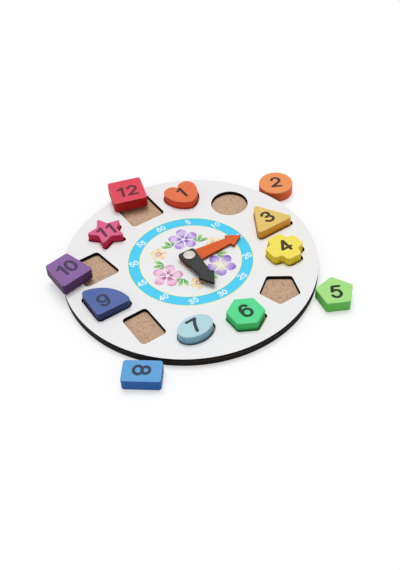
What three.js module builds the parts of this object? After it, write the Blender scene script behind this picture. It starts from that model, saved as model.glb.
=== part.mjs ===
// A wooden toy clock that sorts shapes. A round board, glued up from two sheets, has twelve shaped
// recesses round its dial, one for each hour, and a painted block fits each recess. Two arrow hands
// turn on a rivet in the middle of the dial. Lengths are in millimetres. The origin is the centre of
// the board's underside, +Z is up and +Y points to twelve.

import * as THREE from 'three'

// Board: a thick sheet under a thin one, which is faced with a printed film.
const BOARD_RADIUS = 110
const BACK_SHEET = 5
const FRONT_SHEET = 3
const PRINT_FILM = 0.2
const RIM_WOOD_SHARE = 1.175 // the wood outside a recess, as a share of the wood between two

// Blocks. Each is one block size wide, and its recess is wider by the clearance all round.
const BLOCK_SIZE = 31.2
const BLOCK_HEIGHT = 10.8
const BLOCK_EDGE_ROUND = 0.8
const BLOCK_EDGE_STEPS = 2
const RECESS_CLEARANCE = 1.2
const BEAM_ROUND = 0.8 // least radius that the cutting beam leaves in a recess's inward points
const NOTCH_ROUND = RECESS_CLEARANCE + BEAM_ROUND

// Outlines of the blocks, where the block size alone doesn't give them.
const CORNER_ROUND = 2.5
const POINT_ROUND = 1.6
const TIP_ROUND = 1.4
const RECTANGLE_WIDTH = 21
const ELLIPSE_WIDTH = 21.4
const TRAPEZOID_TOP = 23.2
const QUARTER_END_ROUND = 3.6
const STAR_WAIST_SHARE = 0.514 // from the middle to a notch, as a share of the way to a point
const FLOWER_LOBE_WIDTH = 14.4
const FLOWER_WAIST = 16.6
const FLOWER_ROUND = 3.4
const HEART_LOBE_RADIUS = 8.2
const HEART_FLANK_RADIUS = 22
const HEART_TIP_RADIUS = 3.6
const HEART_HEIGHT = 29

// Where the loose blocks lie: past the rim by shares of this gap.
const STRAY_GAP = 1.4

// Hands, measured from the pivot.
const HAND_THICKNESS = 2.3
const HUB_WIDTH = 16.4
const HUB_BEHIND = 6.6
const HUB_ROUND = 2.6
const HEAD_WIDTH = 15.4
const HAND_POINT_ROUND = 0.5
const MINUTE_REACH = 52.6
const MINUTE_NECK = 39.2
const MINUTE_NECK_WIDTH = 8
const MINUTE_SWEEP = 1.2
const HOUR_REACH = 40.2
const HOUR_NECK = 25.2
const HOUR_NECK_WIDTH = 9.8
const HOUR_SWEEP = 2.2
const MINUTE_BEARING = 93
const HOUR_BEARING = 182

// Rivet and washers.
const SHANK_RADIUS = 2.5
const SHANK_GAP = 0.25
const TURNING_GAP = 0.2
const WASHER_THICKNESS = 0.4
const WASHER_RADIUS = 6
const RIVET_HEAD_RADIUS = 5.1
const RIVET_RIM = 0.6
const RIVET_DOME = 0.9
const TAIL_RADIUS = 4
const TAIL_THICKNESS = 0.9
const BACKING_RADIUS = 6
const BACKING_THICKNESS = 0.6
const POCKET_GAP = 0.5

// Greatest distance between a curve and the flats that stand for it.
const CHORD_ERROR = 0.04
const MERGE_SHARE = 0.1 // points nearer each other than this share of it are one

// Heights, from the table up.
const FRONT_BOTTOM = BACK_SHEET
const FILM_BOTTOM = FRONT_BOTTOM + FRONT_SHEET
const FACE = FILM_BOTTOM + PRINT_FILM
const MINUTE_BOTTOM = FACE + WASHER_THICKNESS + TURNING_GAP
const HAND_WASHER_BOTTOM = MINUTE_BOTTOM + HAND_THICKNESS + TURNING_GAP
const HOUR_BOTTOM = HAND_WASHER_BOTTOM + WASHER_THICKNESS + TURNING_GAP
const RIVET_HEAD_BOTTOM = HOUR_BOTTOM + HAND_THICKNESS + TURNING_GAP
const BACKING_BOTTOM = FRONT_BOTTOM - BACKING_THICKNESS
const TAIL_BOTTOM = BACKING_BOTTOM - TAIL_THICKNESS
const POCKET_BOTTOM = TAIL_BOTTOM - POCKET_GAP

const HALF_TURN = Math.PI
const FULL_TURN = 2 * Math.PI
const HOURS = 12

// The recesses lie on a ring that shares out the wood which they leave, by RIM_WOOD_SHARE.
const HALF = BLOCK_SIZE / 2
const RECESS_HALF = HALF + RECESS_CLEARANCE
const pitchShare = 2 * Math.sin(HALF_TURN / HOURS)
const woodAtCentre = BOARD_RADIUS - RECESS_HALF + RIM_WOOD_SHARE * 2 * RECESS_HALF
const RING_RADIUS = woodAtCentre / (1 + RIM_WOOD_SHARE * pitchShare)

const at = (x, y) => new THREE.Vector2(x, y)
const polar = (radius, angle) => at(radius * Math.cos(angle), radius * Math.sin(angle))
const radians = THREE.MathUtils.degToRad

// A clock bearing runs clockwise from twelve.
const bearing = (radius, degrees) => polar(radius, HALF_TURN / 2 - radians(degrees))

const stepsFor = (radius, turn) => {
  const step = 2 * Math.acos(1 - CHORD_ERROR / Math.max(radius, CHORD_ERROR))
  return Math.max(1, Math.ceil(Math.abs(turn) / step))
}

// Every outline runs anticlockwise as a chain of arcs, and straight sides join them. An arc that turns
// clockwise is an inward corner. Growing the outline moves all of it outwards by the same amount, so an
// outward arc gets a larger radius and an inward arc a smaller one, about the same centres.
const arcPoints = ({ centre, radius, from, turn }, grow) => {
  const grown = radius + Math.sign(turn) * grow
  const steps = stepsFor(grown, turn)
  const points = []
  for (let i = 0; i <= steps; i += 1) points.push(polar(grown, from + (turn * i) / steps).add(centre))
  return points
}

const chainPoints = (arcs, grow) => {
  const points = arcs.flatMap((arc) => arcPoints(arc, grow))
  const apart = CHORD_ERROR * MERGE_SHARE
  return points.filter((point, i) => point.distanceTo(points.at(i - 1)) > apart)
}

// The arc that rounds one corner of a polygon.
const cornerArc = (before, corner, after, radius) => {
  const arriving = corner.clone().sub(before).angle()
  const leaving = after.clone().sub(corner).angle()
  const turn = THREE.MathUtils.euclideanModulo(leaving - arriving + HALF_TURN, FULL_TURN) - HALF_TURN
  const side = Math.sign(turn)
  const outwards = arriving - HALF_TURN / 2 + turn / 2
  const centre = corner.clone().sub(polar((side * radius) / Math.cos(turn / 2), outwards))
  return { centre, radius, from: arriving - (side * HALF_TURN) / 2, turn }
}

// corners is a list of [point, radius] pairs.
const roundedPolygon = (corners) => {
  const arcs = corners.map(([corner, radius], i) => {
    const before = corners.at(i - 1)[0]
    const after = corners[(i + 1) % corners.length][0]
    return cornerArc(before, corner, after, radius)
  })
  return (grow) => chainPoints(arcs, grow)
}

const circle = (radius) => {
  const arc = { centre: at(0, 0), radius, from: 0, turn: FULL_TURN }
  return (grow) => chainPoints([arc], grow)
}

// The middle of the outline's bounding box becomes its centre.
const centred = (outline) => {
  const middle = new THREE.Box2().setFromPoints(outline(0)).getCenter(at(0, 0))
  return (grow) => outline(grow).map((point) => point.sub(middle))
}

const regularPolygon = (sides, reach, round) => {
  const corners = []
  for (let i = 0; i < sides; i += 1) {
    corners.push([polar(reach, HALF_TURN / 2 + (FULL_TURN * i) / sides), round])
  }
  return centred(roundedPolygon(corners))
}

// Four corners, one block size high. The top can be narrower than the foot.
const fourSided = (foot, top) => roundedPolygon([
  [at(-foot / 2, -HALF), CORNER_ROUND],
  [at(foot / 2, -HALF), CORNER_ROUND],
  [at(top / 2, HALF), CORNER_ROUND],
  [at(-top / 2, HALF), CORNER_ROUND]
])
const rectangle = () => fourSided(RECTANGLE_WIDTH, RECTANGLE_WIDTH)
const trapezoid = () => fourSided(BLOCK_SIZE, TRAPEZOID_TOP)
const square = () => fourSided(BLOCK_SIZE, BLOCK_SIZE)

// Rounding takes a little off each point, so the reach is that much longer.
const triangle = () => {
  const reach = ((BLOCK_SIZE + CORNER_ROUND) * 2) / 3
  return regularPolygon(3, reach, CORNER_ROUND)
}

const pentagon = () => {
  const slope = HALF_TURN / 10
  const lost = POINT_ROUND * (Math.cos(slope) / Math.cos(HALF_TURN / 5) - 1)
  return regularPolygon(5, (HALF + lost) / Math.cos(slope), POINT_ROUND)
}

const hexagon = () => {
  const lost = POINT_ROUND * (1 / Math.cos(HALF_TURN / 6) - 1)
  return regularPolygon(6, HALF + lost, POINT_ROUND)
}

const star = () => {
  const points = 5
  const notch = polar(STAR_WAIST_SHARE, HALF_TURN / points)
  const tipSlope = Math.atan2(notch.y, 1 - notch.x)
  const reach = (HALF - TIP_ROUND) / Math.cos(HALF_TURN / 10) + TIP_ROUND / Math.sin(tipSlope)
  const corners = []
  for (let i = 0; i < points; i += 1) {
    const angle = HALF_TURN / 2 + (FULL_TURN * i) / points
    corners.push([polar(reach, angle), TIP_ROUND])
    corners.push([polar(reach * STAR_WAIST_SHARE, angle + HALF_TURN / points), NOTCH_ROUND])
  }
  return centred(roundedPolygon(corners))
}

// Four square-ended lobes with a notch between each two.
const flower = () => {
  const lobes = 4
  const centre = at(0, 0)
  const corners = []
  for (let i = 0; i < lobes; i += 1) {
    const angle = (FULL_TURN * i) / lobes
    corners.push([at(HALF, -FLOWER_LOBE_WIDTH / 2).rotateAround(centre, angle), FLOWER_ROUND])
    corners.push([at(HALF, FLOWER_LOBE_WIDTH / 2).rotateAround(centre, angle), FLOWER_ROUND])
    corners.push([at(FLOWER_WAIST / 2, FLOWER_WAIST / 2).rotateAround(centre, angle), NOTCH_ROUND])
  }
  return roundedPolygon(corners)
}

// A line parallel to an ellipse isn't an ellipse, so each point moves out along its normal.
const ellipse = () => (grow) => {
  const long = HALF
  const short = ELLIPSE_WIDTH / 2
  const steps = stepsFor(long + grow, FULL_TURN)
  const points = []
  for (let i = 0; i < steps; i += 1) {
    const angle = (FULL_TURN * i) / steps
    const normal = at(short * Math.cos(angle), long * Math.sin(angle)).normalize()
    points.push(at(long * Math.cos(angle), short * Math.sin(angle)).addScaledVector(normal, grow))
  }
  return points
}

// A quarter of a disc whose radius is the block size, with its square corner at the lower left.
const quarter = () => {
  const end = QUARTER_END_ROUND
  const reach = BLOCK_SIZE - end
  const run = Math.sqrt(reach ** 2 - end ** 2)
  const lean = Math.asin(end / reach)
  const right = HALF_TURN / 2
  const corner = at(CORNER_ROUND, CORNER_ROUND)
  return centred((grow) => chainPoints([
    { centre: corner, radius: CORNER_ROUND, from: HALF_TURN, turn: right },
    { centre: at(run, end), radius: end, from: -right, turn: right + lean },
    { centre: at(0, 0), radius: BLOCK_SIZE, from: lean, turn: right - 2 * lean },
    { centre: at(end, run), radius: end, from: right - lean, turn: right + lean }
  ], grow))
}

// Two lobes, two long flanks and a blunt tip, each arc running smoothly into the next. The lobes meet in
// a notch at the top. A flank's centre lies where the two circles that touch its neighbours' centres meet.
const heart = () => {
  const tip = at(0, HEART_TIP_RADIUS)
  const lobe = at(HALF - HEART_LOBE_RADIUS, HEART_HEIGHT - HEART_LOBE_RADIUS)
  const toLobe = HEART_FLANK_RADIUS - HEART_LOBE_RADIUS
  const toTip = HEART_FLANK_RADIUS - HEART_TIP_RADIUS
  const between = lobe.distanceTo(tip)
  const along = (between ** 2 + toTip ** 2 - toLobe ** 2) / (2 * between)
  const across = Math.sqrt(toTip ** 2 - along ** 2)
  const axis = lobe.clone().sub(tip).divideScalar(between)
  const flank = tip.clone().addScaledVector(axis, along).add(at(-axis.y * across, axis.x * across))
  const low = tip.clone().sub(flank).angle() - FULL_TURN
  const high = lobe.clone().sub(flank).angle()
  const lift = THREE.MathUtils.euclideanModulo(high + HALF_TURN, FULL_TURN) - HALF_TURN
  return centred((grow) => {
    const notch = HALF_TURN - Math.acos(lobe.x / (HEART_LOBE_RADIUS + grow))
    const mirrored = (point) => at(-point.x, point.y)
    return chainPoints([
      { centre: tip, radius: HEART_TIP_RADIUS, from: -HALF_TURN - low, turn: HALF_TURN + 2 * low },
      { centre: flank, radius: HEART_FLANK_RADIUS, from: low, turn: lift - low },
      { centre: lobe, radius: HEART_LOBE_RADIUS, from: lift, turn: notch - lift },
      { centre: mirrored(lobe), radius: HEART_LOBE_RADIUS, from: HALF_TURN - notch, turn: notch - lift },
      { centre: mirrored(flank), radius: HEART_FLANK_RADIUS, from: HALF_TURN - lift, turn: lift - low }
    ], grow)
  })
}

// The blocks in clock order. A seated block has moved in its recess by shares of the clearance. One on
// the face lies off its recess by shares of the block size. One on the table has its bearing from the
// middle and its share of the stray gap. Turns are anticlockwise, in degrees.
const BLOCKS = [
  { name: 'heart', outline: heart(), colour: 0xee764c, seatedShares: [-0.3, 0], turn: -1 },
  { name: 'circle', outline: circle(HALF), colour: 0xf39e5f, bearing: 73.2, gapShare: 0.9, turn: -28 },
  { name: 'triangle', outline: triangle(), colour: 0xe6c369, seatedShares: [-0.3, 0.7], turn: 0 },
  { name: 'flower', outline: flower(), colour: 0xf8e85f, seatedShares: [-0.4, 0.5], turn: -1 },
  { name: 'pentagon', outline: pentagon(), colour: 0xa0e67d, bearing: 143.7, gapShare: 1.15, turn: -28 },
  { name: 'hexagon', outline: hexagon(), colour: 0x58e18c, seatedShares: [-0.2, 0.7], turn: 0 },
  { name: 'ellipse', outline: ellipse(), colour: 0xb4dce6, seatedShares: [-0.3, 0.5], turn: 0 },
  { name: 'rectangle', outline: rectangle(), colour: 0x5fa5e6, bearing: 230.4, gapShare: 1, turn: -128 },
  { name: 'quarter', outline: quarter(), colour: 0x5a6eb4, seatedShares: [0, 0], turn: -2 },
  { name: 'trapezoid', outline: trapezoid(), colour: 0x9164af, faceShares: [-0.729, 0.112], turn: 8.7 },
  { name: 'star', outline: star(), colour: 0xeb5f91, seatedShares: [-0.4, 0.2], turn: -2 },
  { name: 'square', outline: square(), colour: 0xe94b5f, faceShares: [-0.005, 0.658], turn: -18 }
]

const toy = new THREE.Group()

const addPiece = (name, geometry, colour, roughness, metalness = 0) => {
  const material = new THREE.MeshStandardMaterial({ color: colour, roughness, metalness })
  const piece = new THREE.Mesh(geometry, material)
  piece.name = name
  toy.add(piece)
  return piece
}

// A flat sheet cut square through, from one height to another.
const sheet = (points, openings, bottom, top) => {
  const shape = new THREE.Shape(points)
  shape.holes = openings.map((opening) => new THREE.Path(opening))
  const geometry = new THREE.ExtrudeGeometry(shape, { depth: top - bottom, bevelEnabled: false })
  return geometry.translate(0, 0, bottom)
}

// A sanded block, with its top and bottom edges rounded over inside the outline.
const sandedBlock = (points, bottom, top) => {
  const geometry = new THREE.ExtrudeGeometry(new THREE.Shape(points), {
    depth: top - bottom - 2 * BLOCK_EDGE_ROUND,
    bevelThickness: BLOCK_EDGE_ROUND,
    bevelSize: BLOCK_EDGE_ROUND,
    bevelOffset: -BLOCK_EDGE_ROUND,
    bevelSegments: BLOCK_EDGE_STEPS
  })
  return geometry.translate(0, 0, bottom + BLOCK_EDGE_ROUND)
}

// A turned piece. The profile is a list of points (radius, height) from the axis up and back to it.
const turned = (profile, widest) => {
  const geometry = new THREE.LatheGeometry(profile, stepsFor(widest, FULL_TURN))
  return geometry.rotateX(HALF_TURN / 2)
}

const recessPlace = (hour) => bearing(RING_RADIUS, (360 * hour) / HOURS)

const recesses = BLOCKS.map(({ outline }, i) => {
  return outline(RECESS_CLEARANCE).map((point) => point.add(recessPlace(i + 1)))
})

const rivetBore = circle(SHANK_RADIUS)(SHANK_GAP)
const faceOpenings = [...recesses, rivetBore]

// The back sheet has a round pocket in its top for the rivet's tail. Its underside is whole.
const pocketRadius = BACKING_RADIUS + POCKET_GAP
const backProfile = [
  at(0, 0),
  at(BOARD_RADIUS, 0),
  at(BOARD_RADIUS, BACK_SHEET),
  at(pocketRadius, BACK_SHEET),
  at(pocketRadius, POCKET_BOTTOM),
  at(0, POCKET_BOTTOM)
]
addPiece('back_board', turned(backProfile, BOARD_RADIUS), 0xc8a082, 0.85)

const rim = circle(BOARD_RADIUS)(0)
addPiece('front_board', sheet(rim, faceOpenings, FRONT_BOTTOM, FILM_BOTTOM), 0x2a211b, 0.8)
addPiece('printed_face', sheet(rim, faceOpenings, FILM_BOTTOM, FACE), 0xededee, 0.45)

BLOCKS.forEach((block, i) => {
  const hour = i + 1
  const place = block.gapShare
    ? bearing(BOARD_RADIUS + HALF + block.gapShare * STRAY_GAP, block.bearing)
    : recessPlace(hour)
  let bottom = block.gapShare ? 0 : FACE
  if (block.seatedShares) {
    place.add(at(...block.seatedShares).multiplyScalar(RECESS_CLEARANCE))
    bottom = BACK_SHEET
  }
  if (block.faceShares) place.add(at(...block.faceShares).multiplyScalar(BLOCK_SIZE))
  const geometry = sandedBlock(block.outline(0), bottom, bottom + BLOCK_HEIGHT)
  const piece = addPiece(`block_${hour}_${block.name}`, geometry, block.colour, 0.5)
  piece.position.set(place.x, place.y, 0)
  piece.rotation.z = radians(block.turn)
})

// An arrow hand that points along +Y from the pivot. Its sides taper from the hub to the neck, and the
// head's barbs are swept forwards from the neck.
const hand = (reach, neck, neckWidth, sweep) => roundedPolygon([
  [at(-HUB_WIDTH / 2, -HUB_BEHIND), HUB_ROUND],
  [at(HUB_WIDTH / 2, -HUB_BEHIND), HUB_ROUND],
  [at(neckWidth / 2, neck), HAND_POINT_ROUND],
  [at(HEAD_WIDTH / 2, neck + sweep), HAND_POINT_ROUND],
  [at(0, reach), HAND_POINT_ROUND],
  [at(-HEAD_WIDTH / 2, neck + sweep), HAND_POINT_ROUND],
  [at(-neckWidth / 2, neck), HAND_POINT_ROUND]
])(0)

const addHand = (name, outline, bottom, degrees, colour) => {
  const piece = addPiece(name, sheet(outline, [rivetBore], bottom, bottom + HAND_THICKNESS), colour, 0.5)
  piece.rotation.z = -radians(degrees)
}

const minuteOutline = hand(MINUTE_REACH, MINUTE_NECK, MINUTE_NECK_WIDTH, MINUTE_SWEEP)
const hourOutline = hand(HOUR_REACH, HOUR_NECK, HOUR_NECK_WIDTH, HOUR_SWEEP)
addHand('minute_hand', minuteOutline, MINUTE_BOTTOM, MINUTE_BEARING, 0xe85f2d)
addHand('hour_hand', hourOutline, HOUR_BOTTOM, HOUR_BEARING, 0x3a3a42)

const washer = (radius, bottom, thickness) => {
  return sheet(circle(radius)(0), [rivetBore], bottom, bottom + thickness)
}
addPiece('face_washer', washer(WASHER_RADIUS, FACE, WASHER_THICKNESS), 0xd8d4cc, 0.5)
addPiece('hand_washer', washer(WASHER_RADIUS, HAND_WASHER_BOTTOM, WASHER_THICKNESS), 0xd8d4cc, 0.5)
addPiece('backing_washer', washer(BACKING_RADIUS, BACKING_BOTTOM, BACKING_THICKNESS), 0x9a9a9a, 0.35, 1)

// The rivet: its tail is flared against the backing washer, and its head has a low dome.
const rimTop = RIVET_HEAD_BOTTOM + RIVET_RIM
const domeRadius = (RIVET_HEAD_RADIUS ** 2 + RIVET_DOME ** 2) / (2 * RIVET_DOME)
const domeLean = Math.asin(RIVET_HEAD_RADIUS / domeRadius)
const domeCentre = at(0, rimTop + RIVET_DOME - domeRadius)
const domeArc = { centre: domeCentre, radius: domeRadius, from: HALF_TURN / 2 - domeLean, turn: domeLean }
const dome = arcPoints(domeArc, 0).slice(1, -1)
const rivetProfile = [
  at(0, TAIL_BOTTOM),
  at(TAIL_RADIUS - TAIL_THICKNESS / 2, TAIL_BOTTOM),
  at(TAIL_RADIUS, TAIL_BOTTOM + TAIL_THICKNESS / 2),
  at(TAIL_RADIUS, BACKING_BOTTOM),
  at(SHANK_RADIUS, BACKING_BOTTOM),
  at(SHANK_RADIUS, RIVET_HEAD_BOTTOM),
  at(RIVET_HEAD_RADIUS, RIVET_HEAD_BOTTOM),
  at(RIVET_HEAD_RADIUS, rimTop),
  ...dome,
  at(0, rimTop + RIVET_DOME)
]
addPiece('pivot_rivet', turned(rivetProfile, RIVET_HEAD_RADIUS), 0xf0e6e4, 0.25)

export default toy
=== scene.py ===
from math import atan2, cos, pi, radians, sin

import bmesh
import bpy
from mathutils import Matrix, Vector


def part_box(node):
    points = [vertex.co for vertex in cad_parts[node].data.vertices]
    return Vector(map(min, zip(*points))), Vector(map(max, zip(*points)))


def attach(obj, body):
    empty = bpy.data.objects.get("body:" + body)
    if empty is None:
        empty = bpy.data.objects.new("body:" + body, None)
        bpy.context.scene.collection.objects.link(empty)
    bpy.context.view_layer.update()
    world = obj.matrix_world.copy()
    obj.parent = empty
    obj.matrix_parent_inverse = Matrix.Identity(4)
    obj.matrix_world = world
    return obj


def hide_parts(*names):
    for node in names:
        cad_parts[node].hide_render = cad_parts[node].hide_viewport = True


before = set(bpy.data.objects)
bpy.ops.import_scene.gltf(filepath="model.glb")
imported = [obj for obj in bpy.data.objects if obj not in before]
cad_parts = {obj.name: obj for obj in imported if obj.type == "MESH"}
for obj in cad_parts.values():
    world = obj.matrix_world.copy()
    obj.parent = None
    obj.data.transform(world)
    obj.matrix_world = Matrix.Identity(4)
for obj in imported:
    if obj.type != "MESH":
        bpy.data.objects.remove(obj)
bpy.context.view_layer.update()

# The studio. The clock lies on a white table under even white light, and a broad lamp above and
# a little behind it gives the blocks their soft shadows. The table runs out into plain white.
scene = bpy.context.scene
scene.view_settings.view_transform = "Standard"

camera = bpy.data.objects.new("camera", bpy.data.cameras.new("camera"))
camera.data.lens = 54.89
camera.location = (-0.27599, -0.46439, 0.52615)
camera.rotation_euler = (radians(44.482), radians(2.597), radians(-34.160))
scene.collection.objects.link(camera)
scene.camera = camera


def add_node(tree, kind, inputs=None, **settings):
    """Adds a node with these settings. Each input is linked to a socket or set to a value."""
    node = tree.nodes.new("ShaderNode" + kind)
    for name, value in settings.items():
        setattr(node, name, value)
    for name, value in (inputs or {}).items():
        if isinstance(value, bpy.types.NodeSocket):
            tree.links.new(value, node.inputs[name])
        else:
            node.inputs[name].default_value = value
    return node


def seen_directly(tree):
    """1 for a ray that comes from the camera or from a gloss, and 0 for light on a dull surface."""
    rays = add_node(tree, "LightPath").outputs
    seen = rays["Is Camera Ray"]
    for kind in ("Is Glossy Ray", "Is Transmission Ray"):
        seen = add_node(tree, "Math", {0: seen, 1: rays[kind]}, operation="MAXIMUM").outputs[0]
    return seen


SKY_SIDE = 0.42
SKY_TOP = 0.38
studio = bpy.data.worlds.new("studio")
scene.world = studio
studio.use_nodes = True
sky = studio.node_tree
sky.nodes.clear()
height = add_node(sky, "SeparateXYZ", {0: add_node(sky, "TexCoord").outputs["Generated"]}).outputs["Z"]
daylight = add_node(sky, "MapRange", {"Value": height, "To Min": SKY_SIDE, "To Max": SKY_TOP}).outputs[0]
level = add_node(sky, "Mix", {0: seen_directly(sky), 2: daylight, 3: 1.0}).outputs[0]
light = add_node(sky, "Background", {"Color": (1, 1, 1, 1), "Strength": level})
add_node(sky, "OutputWorld", {"Surface": light.outputs[0]})

lamp = bpy.data.objects.new("lamp", bpy.data.lights.new("lamp", "SUN"))
lamp.data.energy = 1.86
lamp.data.angle = radians(36)
to_lamp = Vector((0.2, 0.36, 1.2))
lamp.rotation_euler = to_lamp.to_track_quat("Z", "Y").to_euler()
scene.collection.objects.link(lamp)

bpy.ops.object.select_all(action="DESELECT")
TABLE_SIZE = 6
TABLE_DROP = 0.00002
bpy.ops.mesh.primitive_plane_add(size=TABLE_SIZE, location=(0, 0, -TABLE_DROP))
table = bpy.context.object
table.name = "table"

# The table is see-through from below, and to the light on what touches it, nearer than TOUCH.
TOUCH = 0.0001
table_top = bpy.data.materials.new("table top")
table_top.use_nodes = True
tree = table_top.node_tree
tree.nodes.clear()
dull = add_node(tree, "BsdfDiffuse", {"Color": (0.9, 0.9, 0.9, 1)})
white = add_node(tree, "BsdfDiffuse", {"Color": (0.55, 0.55, 0.555, 1)})
glow = add_node(tree, "Emission", {"Color": (1, 1, 1, 1), "Strength": 0.48})
bright = add_node(tree, "AddShader", {0: white.outputs[0], 1: glow.outputs[0]})
shown = add_node(tree, "MixShader", {0: seen_directly(tree), 1: dull.outputs[0], 2: bright.outputs[0]})
ray_length = add_node(tree, "LightPath").outputs["Ray Length"]
touching = add_node(tree, "Math", {0: ray_length, 1: TOUCH}, operation="LESS_THAN").outputs[0]
below = add_node(tree, "NewGeometry").outputs["Backfacing"]
clear = add_node(tree, "Math", {0: touching, 1: below}, operation="MAXIMUM").outputs[0]
glass = add_node(tree, "BsdfTransparent", {"Color": (1, 1, 1, 1)})
shown = add_node(tree, "MixShader", {0: clear, 1: shown.outputs[0], 2: glass.outputs[0]})
add_node(tree, "OutputMaterial", {"Surface": shown.outputs[0]})
table.data.materials.append(table_top)

# The back sheet: a disc of fibreboard that the laser cuts out, so its rim is charred. A round
# pocket is milled in its top for the rivet's tail. Its bare top is the floor of every recess.
MM = 0.001
BOARD_RADIUS = 110 * MM
RIM_SIDES = 256
RIM_ROUNDING = 0.3 * MM
POCKET_RADIUS = 6.5 * MM
POCKET_FLOOR = 3 * MM
BOARD_RELIEF = 0.08 * MM


def rgb(red, green, blue):
    """The linear colour of a colour that is written from 0 to 255."""
    parts = [part / 255 for part in (red, green, blue)]
    return [part / 12.92 if part < 0.04045 else ((part + 0.055) / 1.055) ** 2.4 for part in parts] + [1]


def new_group(name, inputs, outputs):
    """Makes a node group, and gives its tree, what comes in and where its results go."""
    tree = bpy.data.node_groups.new(name, "ShaderNodeTree")
    for socket, value in inputs.items():
        kind = "NodeSocketFloat" if isinstance(value, (int, float)) else "NodeSocketColor"
        tree.interface.new_socket(socket, in_out="INPUT", socket_type=kind).default_value = value
    for socket in outputs:
        kind = "NodeSocketColor" if socket == "Color" else "NodeSocketFloat"
        tree.interface.new_socket(socket, in_out="OUTPUT", socket_type=kind)
    return tree, tree.nodes.new("NodeGroupInput").outputs, tree.nodes.new("NodeGroupOutput").inputs


def noise(tree, scale, stretch=(1, 1, 1), turn=0, detail=2.0):
    """Noise of this many lumps to the metre, drawn out where a number in stretch is small."""
    place = add_node(tree, "TexCoord").outputs["Object"]
    place = add_node(tree, "Mapping", {"Vector": place, "Rotation": (0, 0, radians(turn))}).outputs[0]
    place = add_node(tree, "Mapping", {"Vector": place, "Scale": stretch}).outputs[0]
    return add_node(tree, "TexNoise", {"Vector": place, "Scale": scale, "Detail": detail}).outputs[0]


def ramp(tree, value, start, stop, low=0.0, high=1.0):
    """Goes from low to high as the value goes from start to stop."""
    ends = {"Value": value, "From Min": start, "From Max": stop, "To Min": low, "To Max": high}
    return add_node(tree, "MapRange", ends).outputs[0]


def reckon(tree, operation, first, second=0.0):
    """Works out a sum of two values."""
    return add_node(tree, "Math", {0: first, 1: second}, operation=operation).outputs[0]


def blend(tree, share, first, second, how="MIX"):
    """Mixes two colours."""
    parts = {0: share, 6: first, 7: second}
    return add_node(tree, "Mix", parts, data_type="RGBA", blend_type=how).outputs[2]


def facing_up(tree):
    """How far a surface faces up or down: 1 on the flat faces and 0 on the walls."""
    normal = add_node(tree, "TexCoord").outputs["Normal"]
    return reckon(tree, "ABSOLUTE", add_node(tree, "SeparateXYZ", {0: normal}).outputs["Z"])


fibreboard, given, gives = new_group(
    "fibreboard",
    {"Board": rgb(203, 167, 137), "Fleck": rgb(96, 64, 46)},
    ["Color", "Height"])
cloud = noise(fibreboard, 240, detail=4)
fibres = ramp(fibreboard, noise(fibreboard, 1000, (1, 0.5, 1), 35, 3), 0.6, 0.68)
crossing = ramp(fibreboard, noise(fibreboard, 1150, (1, 0.45, 1), -48, 3), 0.61, 0.69)
strands = reckon(fibreboard, "MAXIMUM", fibres, crossing)
dust = ramp(fibreboard, noise(fibreboard, 1900, detail=3), 0.38, 0.62)
clouded = ramp(fibreboard, cloud, 0.35, 0.65, 0.02, 0.16)
tone = blend(fibreboard, clouded, given["Board"], given["Fleck"])
tone = blend(fibreboard, reckon(fibreboard, "MULTIPLY", dust, 0.4), tone, rgb(240, 212, 186))
tone = blend(fibreboard, reckon(fibreboard, "MULTIPLY", strands, 0.85), tone, given["Fleck"])
fibreboard.links.new(tone, gives["Color"])
fibreboard.links.new(reckon(fibreboard, "SUBTRACT", dust, strands), gives["Height"])

char, given, gives = new_group(
    "laser char",
    {"Char": rgb(12, 8, 5), "Ash": rgb(40, 29, 22)},
    ["Color", "Roughness", "Height"])
streaks = noise(char, 1300, (1, 1, 0.05), detail=4)
patches = noise(char, 90, (1, 1, 0.5), detail=3)
ashen = ramp(char, patches, 0.38, 0.66, 0.05, 0.45)
scorch = reckon(char, "MULTIPLY", ramp(char, streaks, 0.48, 0.72), ashen)
char.links.new(blend(char, scorch, given["Char"], given["Ash"]), gives["Color"])
char.links.new(ramp(char, streaks, 0.3, 0.7, 0.92, 0.68), gives["Roughness"])
char.links.new(streaks, gives["Height"])


def new_material(name, roughness=0.5, **sockets):
    """Makes a material, and gives it with its tree and its shader."""
    material = bpy.data.materials.new(name)
    material.use_nodes = True
    shader = material.node_tree.nodes["Principled BSDF"]
    shader.inputs["Roughness"].default_value = roughness
    for socket, value in sockets.items():
        shader.inputs[socket.replace("_", " ")].default_value = value
    return material, material.node_tree, shader.inputs


def bump(tree, height, depth, strength=1.0):
    """The normal of a surface whose relief is this deep."""
    return add_node(tree, "Bump", {"Height": height, "Distance": depth, "Strength": strength}).outputs[0]


# Bare board, with the charred rim on it. The char fades in just short of the rim.
board_bare, tree, shader = new_material("bare board", 0.88, Specular_IOR_Level=0.25)
board = add_node(tree, "Group", node_tree=fibreboard).outputs
burnt = add_node(tree, "Group", node_tree=char).outputs
place = add_node(tree, "TexCoord").outputs["Object"]
reach = add_node(tree, "VectorMath", {0: place}, operation="LENGTH").outputs["Value"]
at_rim = ramp(tree, reach, BOARD_RADIUS - 1.5 * MM, BOARD_RADIUS - 0.8 * MM)
wall = reckon(tree, "MULTIPLY", ramp(tree, facing_up(tree), 0.75, 0.4), at_rim)
tree.links.new(blend(tree, wall, board["Color"], burnt["Color"]), shader["Base Color"])
relief = add_node(tree, "Mix", {0: wall, 2: board["Height"], 3: burnt["Height"]}).outputs[0]
tree.links.new(bump(tree, relief, BOARD_RELIEF, 0.7), shader["Normal"])


def take(pieces):
    """Selects these pieces and nothing else."""
    bpy.ops.object.select_all(action="DESELECT")
    for piece in pieces:
        piece.select_set(True)
    bpy.context.view_layer.objects.active = pieces[-1]


def begin(piece):
    """Opens the piece alone for editing, with nothing picked."""
    take([piece])
    bpy.ops.object.mode_set(mode="EDIT")
    bpy.ops.mesh.select_all(action="DESELECT")


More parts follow.
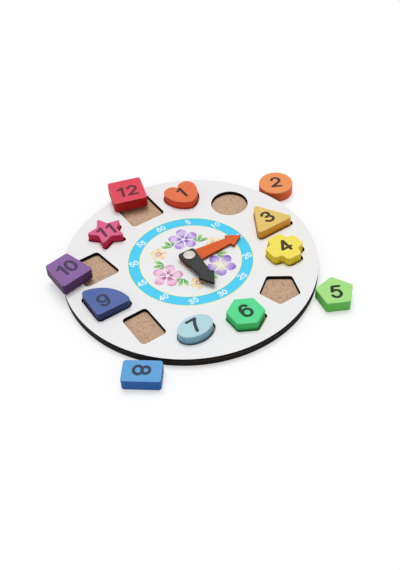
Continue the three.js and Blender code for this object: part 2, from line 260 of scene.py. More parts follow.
def pick_faces(piece, wanted):
    """Picks the faces whose middle and normal are as wanted."""
    bpy.ops.mesh.select_mode(type="FACE")
    shape = bmesh.from_edit_mesh(piece.data)
    for face in shape.faces:
        face.select_set(wanted(face.calc_center_median(), face.normal))
    bmesh.update_edit_mesh(piece.data)


def pick_edges(piece, wanted):
    """Picks the edges whose two ends are as wanted."""
    bpy.ops.mesh.select_mode(type="EDGE")
    shape = bmesh.from_edit_mesh(piece.data)
    for edge in shape.edges:
        edge.select_set(wanted(edge.verts[0].co, edge.verts[1].co))
    bmesh.update_edit_mesh(piece.data)


def put_on(piece, name, material, body):
    """Names the piece, gives it its material, and puts it on its body."""
    piece.name = piece.data.name = name
    piece.data.materials.clear()
    piece.data.materials.append(material)
    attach(piece, body)


def end(piece, name, material, body, angle=35):
    """Closes the piece, smooths it up to this angle between faces, and puts it on its body."""
    bpy.ops.object.mode_set(mode="OBJECT")
    bpy.ops.object.transform_apply(location=True, rotation=True, scale=True)
    bpy.ops.object.shade_smooth_by_angle(angle=radians(angle))
    put_on(piece, name, material, body)


low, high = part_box("back_board")
bpy.ops.object.select_all(action="DESELECT")
bpy.ops.mesh.primitive_cylinder_add(
    vertices=RIM_SIDES, radius=BOARD_RADIUS, depth=high.z, location=(0, 0, high.z / 2))
back = bpy.context.object
begin(back)
pick_faces(back, lambda middle, normal: normal.z > 0.9)
bpy.ops.mesh.inset(thickness=BOARD_RADIUS - POCKET_RADIUS, depth=0)
bpy.ops.mesh.extrude_region_move(TRANSFORM_OT_translate={"value": (0, 0, POCKET_FLOOR - high.z)})
pick_edges(back, lambda a, b: min(a.xy.length, b.xy.length) > BOARD_RADIUS - MM and abs(a.z - b.z) < MM)
bpy.ops.mesh.bevel(offset=RIM_ROUNDING, segments=3, affect="EDGES")
end(back, "back_sheet", board_bare, "board")
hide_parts("back_board")

# The backing washer: a stamped ring of steel, which lies in the pocket of the back sheet. The
# rivet's tail is flared on it, so it can't pull through the wood.
washer_steel, tree, shader = new_material("washer steel", Metallic=1.0)
scratches = noise(tree, 1500, (1, 0.08, 1), 20, 3)
tree.links.new(blend(tree, scratches, rgb(176, 178, 182), rgb(206, 208, 210)), shader["Base Color"])
tree.links.new(ramp(tree, scratches, 0.3, 0.7, 0.26, 0.44), shader["Roughness"])
tree.links.new(bump(tree, scratches, 0.01 * MM), shader["Normal"])


def dress(node, material):
    """Gives a CAD node its material."""
    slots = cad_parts[node].data.materials
    slots.clear()
    slots.append(material)


dress("backing_washer", washer_steel)

# The front sheet: a thinner disc with twelve shaped openings, glued on the back one. The laser
# leaves the rim and every opening's wall charred, with fine streaks along the beam.
scorched, tree, shader = new_material("scorched edge", Specular_IOR_Level=0.15)
board = add_node(tree, "Group", node_tree=fibreboard).outputs
burnt = add_node(tree, "Group", node_tree=char).outputs
wall = ramp(tree, facing_up(tree), 0.75, 0.4)
tree.links.new(blend(tree, wall, board["Color"], burnt["Color"]), shader["Base Color"])
tree.links.new(burnt["Roughness"], shader["Roughness"])
tree.links.new(bump(tree, burnt["Height"], BOARD_RELIEF, 0.7), shader["Normal"])


def merged_copy(node):
    """Opens a copy of a CAD node, whose loose triangles are joined at their corners."""
    piece = bpy.data.objects.new(node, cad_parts[node].data.copy())
    scene.collection.objects.link(piece)
    begin(piece)
    bpy.ops.mesh.select_all(action="SELECT")
    bpy.ops.mesh.remove_doubles(threshold=0.001 * MM)
    bpy.ops.mesh.customdata_custom_splitnormals_clear()
    return piece


front = merged_copy("front_board")
end(front, "front_sheet", scorched, "board")
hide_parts("front_board")

# The shade lines: a thin dark film on the floor of every recess, darkest along the foot of its walls
# and fading out within a millimetre. It is painted shade, for the deep shade in the narrow gaps
# round the seated blocks. Each line is a film that runs once round its recess.
SHADE_LINE_WIDTH = 0.85 * MM
SHADE_LINE_DEPTH = 0.01 * MM
BORE_SURROUND = 10 * MM

soot_and_shade, tree, shader = new_material("soot_and_shade", 0.88, Specular_IOR_Level=0.15)
board = add_node(tree, "Group", node_tree=fibreboard).outputs
burnt = add_node(tree, "Group", node_tree=char).outputs
wall_shade = add_node(tree, "Attribute", attribute_name="wall_shade").outputs["Fac"]
uneven = ramp(tree, noise(tree, 1400), 0.3, 0.7, -0.15, 0.15)
wall_shade = ramp(tree, reckon(tree, "ADD", wall_shade, uneven), 0.05, 0.35)
tree.links.new(blend(tree, wall_shade, board["Color"], burnt["Color"]), shader["Base Color"])

low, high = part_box("front_board")
middle = (low.z + high.z) / 2
lines = merged_copy("front_board")
bpy.ops.mesh.select_all(action="SELECT")
bpy.ops.mesh.bisect(plane_co=(0, 0, middle), plane_no=(0, 0, 1), clear_inner=True, clear_outer=True)
pick_edges(lines, lambda a, b: not BORE_SURROUND < a.xy.length < BOARD_RADIUS - 2 * MM)
bpy.ops.mesh.delete(type="VERT")
bpy.ops.mesh.select_all(action="SELECT")
bpy.ops.transform.translate(value=(0, 0, low.z - middle))
bpy.ops.mesh.edge_face_add()
bpy.ops.mesh.select_mode(type="FACE")
bpy.ops.mesh.select_all(action="SELECT")
bpy.ops.mesh.inset(thickness=SHADE_LINE_WIDTH, depth=0)
shape = bmesh.from_edit_mesh(lines.data)
# The painted shade is full at the foot of the wall and gone at the line's inner edge.
share = shape.verts.layers.float.new("wall_shade")
for corner in shape.verts:
    corner[share] = 0.0 if corner.select else 1.0
bmesh.update_edit_mesh(lines.data)
bpy.ops.mesh.delete(type="FACE")
bpy.ops.mesh.select_all(action="SELECT")
bpy.ops.mesh.extrude_region_move(TRANSFORM_OT_translate={"value": (0, 0, SHADE_LINE_DEPTH)})
bpy.ops.mesh.select_all(action="SELECT")
bpy.ops.mesh.normals_make_consistent(inside=False)
end(lines, "painted_shade_lines", soot_and_shade, "board")

# The printed face: a thin white film with a satin coat, glued on the front sheet and cut with it.
# Whatever is printed lies under the same coat and has the same faint ripple.
FILM_RELIEF = 0.01 * MM


def film_material(name):
    """Makes a material of coated film, and gives it with its tree, shader and ripple."""
    material, tree, shader = new_material(name, 0.42, Specular_IOR_Level=0.35)
    ripple = noise(tree, 700, detail=3)
    tree.links.new(bump(tree, ripple, FILM_RELIEF), shader["Normal"])
    return material, tree, shader, ripple


film, tree, shader, ripple = film_material("printed film")
tree.links.new(blend(tree, noise(tree, 60), rgb(237, 237, 238), rgb(240, 240, 241)), shader["Base Color"])
tree.links.new(ramp(tree, ripple, 0.3, 0.7, 0.38, 0.5), shader["Roughness"])
dress("printed_face", film)

# The minute ring: a band of sky blue between two fine lines of pale yellow, printed a little
# off the rivet's centre and a little turned. Where the inks overlap, they make a sea-green seam.
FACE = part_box("printed_face")[1].z
INK = 0.03 * MM

# The dial's sizes and places, in mm.
DIAL_X = 1.07
DIAL_Y = 0.31
BAND_OUTER = 53.8
BAND_INNER = 44.3
BAND_MIDDLE = (BAND_OUTER + BAND_INNER) / 2
LINE_WIDTH = 1.3
SEAM_START = 4.0
SEAM_STOP = 4.4

DIAL_CENTRE = Vector((DIAL_X * MM, DIAL_Y * MM, FACE))
DIAL_TURN = radians(0.9)


def print_ink(name, colour, second):
    """A printed colour, of fine dots of two tones."""
    ink, tree, shader = film_material(name)[:3]
    dots = ramp(tree, noise(tree, 2600), 0.4, 0.6)
    tree.links.new(blend(tree, dots, colour, second), shader["Base Color"])
    return ink


def printed_band(name, outer, inner, ink):
    """A ring of ink between two radii in mm: a disc that is inset, and then opened."""
    bpy.ops.object.select_all(action="DESELECT")
    bpy.ops.mesh.primitive_circle_add(
        vertices=RIM_SIDES, radius=outer * MM, fill_type="NGON", location=DIAL_CENTRE)
    band = bpy.context.object
    begin(band)
    bpy.ops.mesh.select_all(action="SELECT")
    bpy.ops.mesh.inset(thickness=(outer - inner) * MM, depth=0)
    bpy.ops.mesh.delete(type="FACE")
    bpy.ops.mesh.select_all(action="SELECT")
    bpy.ops.mesh.extrude_region_move(TRANSFORM_OT_translate={"value": (0, 0, INK)})
    bpy.ops.mesh.select_all(action="SELECT")
    bpy.ops.mesh.normals_make_consistent(inside=False)
    end(band, name, ink, "board")


sky_blue = print_ink("sky blue ink", rgb(52, 202, 246), rgb(70, 208, 248))
tree = sky_blue.node_tree
colour = tree.nodes["Principled BSDF"].inputs["Base Color"]
place = add_node(tree, "TexCoord").outputs["Object"]
reach = add_node(tree, "VectorMath", {0: place, 1: DIAL_CENTRE}, operation="DISTANCE").outputs["Value"]
off_middle = reckon(tree, "ABSOLUTE", reckon(tree, "SUBTRACT", reach, BAND_MIDDLE * MM))
seam = ramp(tree, off_middle, SEAM_START * MM, SEAM_STOP * MM)
tree.links.new(blend(tree, seam, colour.links[0].from_socket, rgb(82, 190, 190)), colour)
pale_yellow = print_ink("pale yellow ink", rgb(233, 243, 204), rgb(237, 244, 214))
printed_band("minute_band", BAND_OUTER, BAND_INNER, sky_blue)
printed_band("minute_line_outer", BAND_OUTER + LINE_WIDTH, BAND_OUTER, pale_yellow)
printed_band("minute_line_inner", BAND_INNER, BAND_INNER - LINE_WIDTH, pale_yellow)

# The minutes: plain bold numbers in white on the band, each upright. A number is drawn with
# round-ended strokes, which are joined into one flat shape.
MINUTES_RADIUS = 48.9
MINUTES_STEP = 4.25
SMALL_DIGIT = {"size": (0.375, 0.42), "pen": (0.49, 0.46)}


def arc(x, y, across, up, start, stop):
    """Points on a stretch of an oval, between two turns in degrees."""
    turns = [radians(start + (stop - start) * step / 12) for step in range(13)]
    return [(x + across * cos(turn), y + up * sin(turn)) for turn in turns]


SIX = [
    arc(0, -2.2, 3.85, 3.85, 0, 180), arc(0, -2.2, 3.85, 3.85, 180, 360),
    arc(0.25, 0, 4.1, 6.05, 40, 195)]
STROKES = {
    "0": [arc(0, 0, 3.8, 6.05, -90, 90), arc(0, 0, 3.8, 6.05, 90, 270)],
    "1": [[(0, -6.05), (0, 6)], [(-3.8, 3.5), (-2.5, 3.9), (-1.2, 4.7), (0, 6)]],
    "2": [arc(0, 2.35, 3.7, 3.7, 168, -38), [(2.92, 0.07), (-3.9, -6.05)], [(-3.9, -6.05), (4.2, -6.05)]],
    "3": [
        arc(-0.1, 3.2, 3.4, 2.85, 165, -90), arc(-0.1, -2.85, 3.9, 3.2, 90, -165),
        [(-1.2, 0.35), (0, 0.35)]],
    "4": [[(2.1, 6), (-4.2, -2.9)], [(-4.2, -2.9), (4.5, -2.9)], [(2.3, 6), (2.3, -6.05)]],
    "5": [[(3.5, 6.05), (-2.2, 6.05)], [(-2.2, 6.05), (-3.1, 0.5)], arc(-0.1, -2.05, 3.95, 4, 140, -155)],
    "6": SIX,
    "7": [[(-3.9, 6.05), (3.9, 6.05)], [(3.9, 6.05), (1.9, 3.2), (0.4, 0.2), (-0.7, -3), (-1.5, -6.05)]],
    "8": [
        arc(0, 3.2, 3.4, 3, -90, 90), arc(0, 3.2, 3.4, 3, 90, 270),
        arc(0, -2.85, 4, 3.4, -90, 90), arc(0, -2.85, 4, 3.4, 90, 270)],
    "9": [[(-x, -y) for x, y in stroke] for stroke in SIX],
}


def stroke_edge(stroke, half):
    """The edge of a stroke of this half width with round ends."""
    points = [Vector(point) for point in stroke]
    steps = list(zip(points, points[1:]))
    headings = [
        (steps[max(at - 1, 0)][0] - steps[min(at, len(steps) - 1)][1]).normalized()
        for at in range(len(points))]
    side = [Vector((heading.y, -heading.x)) * half for heading in headings]

    def cap(middle, arm):
        """The round end about a point, from this arm to the opposite one."""
        turns = [atan2(arm.y, arm.x) - pi * step / 6 for step in range(1, 6)]
        return [middle + half * Vector((cos(turn), sin(turn))) for turn in turns]

    there = [point + arm for point, arm in zip(points, side)]
    back_again = [point - arm for point, arm in zip(points, side)][::-1]
    return there + cap(points[-1], side[-1]) + back_again + cap(points[0], -side[0])


def join_all(pieces):
    """Fixes these pieces where they lie, and makes them one."""
    take(pieces)
    bpy.ops.object.transform_apply(location=True, rotation=True, scale=True)
    if len(pieces) > 1:
        bpy.ops.object.join()
    return pieces[-1]


def model_digit(digit, size, pen):
    """A digit round the origin, in mm: a flat slab of ink, whose strokes are joined into one.

    It is drawn with an oval pen, and pen is how far that reaches from its middle across and up."""
    squeeze = pen[1] / pen[0]
    strokes = []
    for stroke in STROKES[digit]:
        curve = bpy.data.curves.new(digit, "CURVE")
        curve.dimensions = "2D"
        curve.fill_mode = "BOTH"
        curve.extrude = INK / MM / 2
        points = stroke_edge([(size[0] * x, size[1] * y / squeeze) for x, y in stroke], pen[0])
        spline = curve.splines.new("POLY")
        spline.points.add(len(points) - 1)
        for end_point, point in zip(spline.points, points):
            end_point.co = (point.x, point.y * squeeze, 0, 1)
        spline.use_cyclic_u = True
        piece = bpy.data.objects.new(digit, curve)
        scene.collection.objects.link(piece)
        strokes.append(piece)
    take(strokes)
    bpy.ops.object.convert(target="MESH")
    piece = join_all(strokes)
    begin(piece)
    bpy.ops.mesh.select_all(action="SELECT")
    bpy.ops.mesh.remove_doubles(threshold=1e-4)
    if len(STROKES[digit]) > 1:
        bpy.ops.mesh.intersect_boolean(operation="UNION", use_self=True, solver="EXACT")
    bpy.ops.mesh.select_all(action="SELECT")
    bpy.ops.mesh.dissolve_limited(angle_limit=radians(1))
    bpy.ops.mesh.select_all(action="SELECT")
    bpy.ops.mesh.normals_make_consistent(inside=False)
    bpy.ops.object.mode_set(mode="OBJECT")
    shape = piece.data
    bpy.data.objects.remove(piece)
    return shape


def print_number(name, digits, shapes, place, turn, ink, body):
    """Lays copies of the digits flat at a place. Each digit comes with its middle in mm."""
    copies = []
    for digit, x, y in digits:
        copy = bpy.data.objects.new(name, shapes[digit].copy())
        scene.collection.objects.link(copy)
        copy.location = (x, y, 0)
        copies.append(copy)
    number = join_all(copies)
    number.scale = (MM, MM, MM)
    number.rotation_euler = (0, 0, turn)
    number.location = place
    end(number, name, ink, body)


number_white = print_ink("white ink", rgb(240, 250, 254), rgb(246, 252, 255))
small_digits = {digit: model_digit(digit, **SMALL_DIGIT) for digit in STROKES}
for hour in range(1, 13):
    bearing = radians(30 * hour) + DIAL_TURN
    heading = Vector((sin(bearing), cos(bearing), 0))
    place = DIAL_CENTRE + heading * MINUTES_RADIUS * MM + Vector((0, 0, 1.5 * INK))
    minutes = str(5 * hour)
    centre = (len(minutes) - 1) / 2
    digits = [(digit, (at - centre) * MINUTES_STEP, 0) for at, digit in enumerate(minutes)]
    name = f"minute_number_{minutes}"
    print_number(name, digits, small_digits, place, -DIAL_TURN, number_white, "board")

# The picture in the middle: a wreath of blossoms and leaves, printed like the band. A petal's
# colour runs from its root to its rim, and washes in and out as in a watercolour.
petal_wash, given, gives = new_group(
    "petal wash",
    {"Root": rgb(255, 255, 255), "Middle": rgb(255, 255, 255), "Rim": rgb(255, 255, 255),
     "Across": 0.0, "Up": 0.0, "Radius": 12.0},
    ["Color"])
place = add_node(petal_wash, "TexCoord").outputs["Object"]
flat = add_node(petal_wash, "Mapping", {"Vector": place, "Scale": (1 / MM, 1 / MM, 0)}).outputs[0]
centre = add_node(petal_wash, "CombineXYZ", {0: given["Across"], 1: given["Up"]}).outputs[0]
reach = add_node(petal_wash, "VectorMath", {0: flat, 1: centre}, operation="DISTANCE").outputs["Value"]
reach = reckon(petal_wash, "DIVIDE", reach, given["Radius"])
wash = ramp(petal_wash, noise(petal_wash, 220, detail=3), 0.3, 0.7, -0.16, 0.16)
reach = reckon(petal_wash, "ADD", reach, wash)
inner = blend(petal_wash, ramp(petal_wash, reach, 0.2, 0.62), given["Root"], given["Middle"])
outer = ramp(petal_wash, reach, 0.62, 1.02)
petal_wash.links.new(blend(petal_wash, outer, inner, given["Rim"]), gives["Color"])


def washed_ink(name, root, middle, rim, centre, radius):
    """The printed colours of a blossom round its centre in mm."""
    ink, tree, shader = film_material(name)[:3]
    values = {
        "Root": root, "Middle": middle, "Rim": rim,
        "Across": centre[0], "Up": centre[1], "Radius": radius}
    washed = add_node(tree, "Group", values, node_tree=petal_wash).outputs
    tree.links.new(washed["Color"], shader["Base Color"])
    return ink


# One petal: a disc, 1 across, that is pinched towards its root.
PETAL_WAIST = -0.12
PETAL_OUT = 0.62
bpy.ops.object.select_all(action="DESELECT")
bpy.ops.mesh.primitive_circle_add(vertices=40, radius=0.5, fill_type="NGON")
petal = bpy.context.object
begin(petal)
bpy.ops.mesh.select_mode(type="VERT")
shape = bmesh.from_edit_mesh(petal.data)
for corner in shape.verts:
    corner.select_set(corner.co.x < PETAL_WAIST)
bmesh.update_edit_mesh(petal.data)
bpy.ops.transform.resize(value=(1, 0.5, 1), center_override=(PETAL_WAIST, 0, 0))
bpy.ops.mesh.select_all(action="SELECT")
bpy.ops.mesh.vertices_smooth(factor=0.5, repeat=3)
bpy.ops.mesh.extrude_region_move(TRANSFORM_OT_translate={"value": (0, 0, INK)})
bpy.ops.mesh.select_all(action="SELECT")
bpy.ops.mesh.normals_make_consistent(inside=False)
bpy.ops.object.mode_set(mode="OBJECT")
petal_shape = petal.data
bpy.data.objects.remove(petal)


def print_petals(name, centre, petals, apart, length, width, start, layers, ink):
    """Lays copies of the petal round a centre in mm, so many degrees apart."""
    copies = []
    for number in range(petals):
        turn = radians(start + apart * number)
        out = length * PETAL_OUT
        x, y = centre[0] + out * cos(turn), centre[1] + out * sin(turn)
        copy = bpy.data.objects.new(name, petal_shape.copy())
        scene.collection.objects.link(copy)
        copy.scale = (length * MM, width * MM, layers)
        copy.rotation_euler = (0, 0, turn)
        copy.location = (x * MM, y * MM, FACE)
        copies.append(copy)
    end(join_all(copies), name, ink, "board")


lilac = (rgb(126, 92, 190), rgb(222, 200, 240), rgb(150, 118, 205))
pink = (rgb(190, 84, 150), rgb(246, 208, 228), rgb(214, 124, 182))
violet = (rgb(240, 236, 190), rgb(188, 160, 226), rgb(112, 82, 180))
cream = (rgb(206, 120, 84), rgb(250, 236, 190), rgb(240, 196, 120))
green = (rgb(62, 140, 70), rgb(122, 190, 104), rgb(186, 222, 150))
# How far out in mm, how many petals, their degrees apart, and the length and width of one in mm.
LARGE_BLOSSOM = (27, 5, 72, 12, 10)
SMALL_BLOSSOM = (29, 5, 72, 6.6, 5.4)
LEAVES = (22.5, 3, 42, 9.5, 4)
WREATH = [
    ("lilac", 20, LARGE_BLOSSOM, lilac),
    ("violet", 140, LARGE_BLOSSOM, violet),
    ("pink", 260, LARGE_BLOSSOM, pink),
    ("cream_1", 80, SMALL_BLOSSOM, cream),
    ("cream_2", 200, SMALL_BLOSSOM, cream),
    ("cream_3", 320, SMALL_BLOSSOM, cream)]
WREATH += [(f"leaves_{number + 1}", 50 + 60 * number, LEAVES, green) for number in range(6)]
for name, bearing, kind, (root, middle, rim) in WREATH:
    out, petals, apart, length, width = kind
    centre = (DIAL_X + out * sin(radians(bearing)), DIAL_Y + out * cos(radians(bearing)))
    ink = washed_ink("wreath " + name.replace("_", " "), root, middle, rim, centre, length * 1.1)
    leafy = kind is LEAVES
    start = 90 - bearing - (apart if leafy else 0)
    print_petals("wreath_" + name, centre, petals, apart, length, width, start, 1 if leafy else 2, ink)

# The hand washers: thin rings of pale plastic on the rivet, one under each hand. They let the
# hands turn without rubbing on the print or on each other.
washer_plastic, tree, shader = new_material("washer plastic", 0.4)
cloudy = noise(tree, 500, detail=3)
tree.links.new(blend(tree, cloudy, rgb(214, 210, 202), rgb(228, 225, 218)), shader["Base Color"])
tree.links.new(bump(tree, cloudy, 0.01 * MM), shader["Normal"])
dress("face_washer", washer_plastic)
dress("hand_washer", washer_plastic)

# The hands: each is laser-cut from thin plywood with a painted face, so its edges are a scorched
# brown right round. The edges are rubbed down a little.
HAND_ROUNDING = 0.22 * MM

painted_top, given, gives = new_group(
    "painted top",
    {"Paint": rgb(232, 95, 45), "Edge": rgb(84, 38, 20)},
    ["Color", "Roughness", "Height"])
grain = noise(painted_top, 1100, (1, 0.06, 1), 3, 3)
stipple = noise(painted_top, 2400)
uneven = ramp(painted_top, stipple, 0.3, 0.7, -0.06, 0.06)
burn = reckon(painted_top, "ADD", facing_up(painted_top), uneven)
top = blend(painted_top, ramp(painted_top, grain, 0.35, 0.65, 0, 0.12), given["Paint"], given["Edge"])
soot_and_shade = ramp(painted_top, noise(painted_top, 1300, (1, 1, 0.05)), 0.4, 0.7, 0, 0.6)
cut = blend(painted_top, soot_and_shade, given["Edge"], rgb(20, 12, 9))
painted_top.links.new(blend(painted_top, ramp(painted_top, burn, 0.86, 0.62), top, cut), gives["Color"])
painted_top.links.new(ramp(painted_top, stipple, 0.3, 0.7, 0.46, 0.6), gives["Roughness"])
painted_top.links.new(reckon(painted_top, "ADD", grain, stipple), gives["Height"])


def coat_of_paint(name, finish, colours, depth, strength=1.0):
    """A material whose colour, gloss and relief all come from a finish in these colours."""
    paint, tree, shader = new_material(name, Specular_IOR_Level=0.12)
    coat = add_node(tree, "Group", colours, node_tree=finish).outputs
    tree.links.new(coat["Color"], shader["Base Color"])
    tree.links.new(coat["Roughness"], shader["Roughness"])
    tree.links.new(bump(tree, coat["Height"], depth, strength), shader["Normal"])
    return paint


def paint_hand(node, name, colour, edge):
    """Paints a hand, and rubs down the edges of its upper and lower face."""
    paint = coat_of_paint(name.replace("_", " "), painted_top, {"Paint": colour, "Edge": edge}, 0.02 * MM)
    hand = merged_copy(node)
    bpy.ops.object.mode_set(mode="OBJECT")
    rounding = hand.modifiers.new("rounding", "BEVEL")
    rounding.width = HAND_ROUNDING
    rounding.segments = 3
    rounding.angle_limit = radians(50)
    bpy.ops.object.modifier_apply(modifier="rounding")
    end(hand, name, paint, node, 50)
    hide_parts(node)


paint_hand("minute_hand", "orange_hand", rgb(224, 101, 49), rgb(165, 64, 20))
paint_hand("hour_hand", "black_hand", rgb(62, 62, 64), rgb(24, 21, 17))

# The rivet: one turned piece of satin plastic, a warm off-white. Its tail is flared in the pocket,
# and its head is a low dome with a soft rim. Its sizes are in mm.
TAIL_RADIUS = 4.0
TAIL_BOTTOM = 3.5
TAIL_TOP = 4.4
SHANK_RADIUS = 2.5
HEAD_RADIUS = 5.1
HEAD_BOTTOM = 14.4
HEAD_FOOT = 0.35
FOOT_RISE = 0.3
HEAD_LIP = 0.25
DOME_RISE = 0.9

rivet_plastic, tree, shader = new_material("rivet plastic", 0.4, Coat_Weight=0.1, Coat_Roughness=0.25)
veil = noise(tree, 320, detail=4)
clouded = ramp(tree, veil, 0.35, 0.65)
tree.links.new(blend(tree, clouded, rgb(224, 215, 210), rgb(207, 199, 191)), shader["Base Color"])
tree.links.new(ramp(tree, veil, 0.3, 0.7, 0.34, 0.5), shader["Roughness"])
tree.links.new(bump(tree, veil, 0.05 * MM), shader["Normal"])

profile = [
    (TAIL_RADIUS - 0.45, TAIL_BOTTOM), (TAIL_RADIUS - 0.2, TAIL_BOTTOM + 0.06),
    (TAIL_RADIUS - 0.05, TAIL_BOTTOM + 0.25), (TAIL_RADIUS, TAIL_BOTTOM + 0.45),
    (TAIL_RADIUS, TAIL_TOP), (SHANK_RADIUS, TAIL_TOP), (SHANK_RADIUS, HEAD_BOTTOM),
    (HEAD_RADIUS - HEAD_FOOT, HEAD_BOTTOM)]
widest = HEAD_BOTTOM + FOOT_RISE
for step in range(1, 7):
    turn = radians(15 * step)
    profile.append((HEAD_RADIUS - HEAD_FOOT * (1 - sin(turn)), widest - FOOT_RISE * cos(turn)))
for step in range(1, 6):
    turn = radians(18 * step)
    profile.append((HEAD_RADIUS - HEAD_LIP * (1 - cos(turn)), widest + FOOT_RISE * sin(turn)))
for step in range(1, 12):
    share = 1 - step / 12
    rise = widest + FOOT_RISE + DOME_RISE * (1 - share ** 2)
    profile.append(((HEAD_RADIUS - HEAD_LIP) * share, rise))
bpy.ops.object.select_all(action="DESELECT")
bpy.ops.mesh.primitive_circle_add(
    vertices=96, radius=profile[0][0] * MM, fill_type="NGON", location=(0, 0, profile[0][1] * MM))
rivet = bpy.context.object
begin(rivet)
bpy.ops.mesh.select_all(action="SELECT")
for (before, bottom), (after, rise) in zip(profile, profile[1:]):
    bpy.ops.mesh.extrude_region_move(TRANSFORM_OT_translate={"value": (0, 0, (rise - bottom) * MM)})
    bpy.ops.transform.resize(value=(after / before, after / before, 1), center_override=(0, 0, rise * MM))
bpy.ops.mesh.select_all(action="SELECT")
bpy.ops.mesh.normals_make_consistent(inside=False)
end(rivet, "rivet", rivet_plastic, "board", 50)
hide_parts("pivot_rivet")

# The twelve blocks: sawn from beech, their long edges rounded over and the whole dipped in satin
# paint. Each carries its hour, printed in dark ink that lets a little of the paint through.
painted_wood, given, gives = new_group(
    "painted wood",
    {"Paint": rgb(128, 128, 128), "ShadedSide": rgb(64, 64, 64)},
    ["Color", "Roughness", "Height"])
flat = facing_up(painted_wood)
saw_marks = noise(painted_wood, 900, (1, 1, 0.04), detail=3)
pores = noise(painted_wood, 800, (1, 0.06, 1), 8, 3)
stipple = noise(painted_wood, 2000)
cloud = noise(painted_wood, 70)
# The walls take a darker, deeper copy of the paint than the flat top: painted shade.
steep = ramp(painted_wood, flat, 0.25, 0.6)
coat = blend(painted_wood, steep, given["ShadedSide"], given["Paint"])
coat = blend(painted_wood, ramp(painted_wood, cloud, 0.3, 0.7, 0, 0.02), coat, rgb(255, 255, 255))
deep = blend(painted_wood, 1.0, coat, rgb(225, 218, 214), "MULTIPLY")
walls = ramp(painted_wood, flat, 0.5, 0.2)
sides = reckon(painted_wood, "MULTIPLY", ramp(painted_wood, saw_marks, 0.4, 0.7), walls)
level = ramp(painted_wood, flat, 0.9, 1.0, 0, 0.14)
tops = reckon(painted_wood, "MULTIPLY", ramp(painted_wood, pores, 0.5, 0.68), level)
marks = reckon(painted_wood, "MULTIPLY", reckon(painted_wood, "MAXIMUM", sides, tops), 0.35)
colour = blend(painted_wood, marks, coat, deep)
# The rounded edges are lightened a little: partly rubbed paint, partly a painted highlight.
edges = reckon(painted_wood, "MULTIPLY", steep, ramp(painted_wood, flat, 0.985, 0.85))
colour = blend(painted_wood, reckon(painted_wood, "MULTIPLY", edges, 0.1), colour, rgb(255, 255, 255))
painted_wood.links.new(colour, gives["Color"])
painted_wood.links.new(ramp(painted_wood, stipple, 0.3, 0.7, 0.42, 0.56), gives["Roughness"])
sawn = reckon(painted_wood, "MULTIPLY", sides, 0.5)
sprayed = reckon(painted_wood, "MULTIPLY", stipple, 0.35)
relief = reckon(painted_wood, "ADD", reckon(painted_wood, "ADD", sawn, sprayed), tops)
painted_wood.links.new(relief, gives["Height"])

# For each block: its middle in mm and its turn in degrees, its paint on the top and a darker copy
# of it on the walls, which is painted shade, its ink, and its digits.
BLOCKS = {
    "block_1_heart": (
        (40.89, 71.45), -1, (233, 117, 72), (233, 75, 36), (66, 30, 26), [("1", 0.58, 1.16)]),
    "block_2_circle": (
        (121.45, 36.67), -28, (242, 151, 91), (243, 105, 54), (58, 34, 26), [("2", 0, 0.75)]),
    "block_3_triangle": (
        (82.14, 0.84), 0, (233, 199, 111), (239, 169, 60), (50, 36, 22), [("3", 0.27, -2.59)]),
    "block_4_flower": (
        (70.97, -40.65), -1, (248, 231, 93), (250, 216, 42), (50, 40, 22), [("4", 0.28, -0.04)]),
    "block_5_pentagon": (
        (75.31, -102.52), -28, (169, 228, 137), (109, 205, 89), (14, 24, 12), [("5", 0.3, -2.7)]),
    "block_6_hexagon": (
        (-0.24, -81.66), 0, (89, 222, 147), (61, 204, 106), (24, 52, 40), [("6", 0.07, -0.14)]),
    "block_7_ellipse": (
        (-41.61, -70.85), 0, (182, 218, 228), (142, 189, 212), (46, 50, 64), [("7", -0.13, 0.31)]),
    "block_8_rectangle": (
        (-97.86, -80.95), -128, (98, 165, 222), (40, 103, 184), (42, 58, 84), [("8", -0.47, -0.02)]),
    "block_9_quarter": (
        (-82.5, 0), -2, (84, 105, 168), (47, 61, 111), (52, 56, 80), [("9", -3.73, -3.59)]),
    "block_10_trapezoid": (
        (-94.19, 44.74), 8.7, (139, 98, 162), (88, 50, 100), (64, 50, 78),
        [("1", -3.4, 0.15), ("0", 4.3, 0.15)]),
    "block_11_star": (
        (-41.73, 71.69), -2, (226, 98, 142), (211, 31, 78), (94, 38, 62),
        [("1", -3.6, -2.69), ("1", 5.6, -2.39)]),
    "block_12_square": (
        (-0.16, 103.03), -18, (227, 73, 93), (192, 6, 9), (98, 32, 44),
        [("1", -4.6, -1.54), ("2", 4.4, -1.34)]),
}
BLOCK_ROUNDING = 0.8 * MM
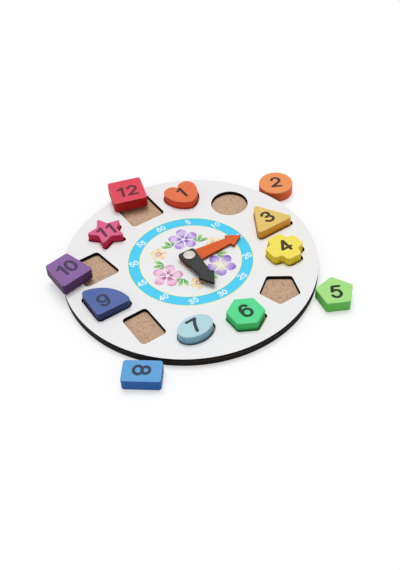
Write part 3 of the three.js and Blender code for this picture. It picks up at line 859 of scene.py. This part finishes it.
LARGE_DIGIT = {"size": (0.98, 1.01), "pen": (1.4, 1.26)}

large_digits = {digit: model_digit(digit, **LARGE_DIGIT) for digit in STROKES}
for node, ((x, y), turn, paint_colour, shaded_side_colour, ink_colour, digits) in BLOCKS.items():
    hour = node.split("_")[1]
    colours = {"Paint": rgb(*paint_colour), "ShadedSide": rgb(*shaded_side_colour)}
    paint = coat_of_paint(f"paint {hour}", painted_wood, colours, 0.04 * MM, 0.8)

    low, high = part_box(node)
    middle = (low.z + high.z) / 2
    block = merged_copy(node)
    bpy.ops.mesh.select_all(action="SELECT")
    bpy.ops.mesh.bisect(
        plane_co=(0, 0, middle), plane_no=(0, 0, 1), use_fill=True, clear_inner=True, clear_outer=True)
    bpy.ops.mesh.select_all(action="SELECT")
    bpy.ops.transform.translate(value=(0, 0, low.z - middle))
    bpy.ops.mesh.extrude_region_move(TRANSFORM_OT_translate={"value": (0, 0, high.z - low.z)})
    bpy.ops.mesh.select_all(action="SELECT")
    bpy.ops.mesh.normals_make_consistent(inside=False)
    pick_edges(block, lambda a, b: abs(a.z - b.z) < 0.01 * MM)
    bpy.ops.mesh.bevel(offset=BLOCK_ROUNDING, segments=5, affect="EDGES")
    bpy.ops.object.mode_set(mode="OBJECT")
    even = block.modifiers.new("even", "WEIGHTED_NORMAL")
    even.keep_sharp = True
    bpy.ops.object.shade_smooth_by_angle(angle=radians(40))
    bpy.ops.object.modifier_apply(modifier="even")
    put_on(block, f"painted_{node}", paint, node)
    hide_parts(node)

    dark, tree, shader = new_material(f"ink {hour}", 0.55, Specular_IOR_Level=0.2)
    worn = ramp(tree, noise(tree, 1500, detail=3), 0.5, 0.75, 0, 0.12)
    tree.links.new(blend(tree, worn, rgb(*ink_colour), rgb(*paint_colour)), shader["Base Color"])
    tree.links.new(bump(tree, noise(tree, 1800), 0.01 * MM), shader["Normal"])
    place = Vector((x * MM, y * MM, high.z + INK / 2))
    name = f"hour_number_{hour}"
    print_number(name, digits, large_digits, place, radians(turn), dark, node)
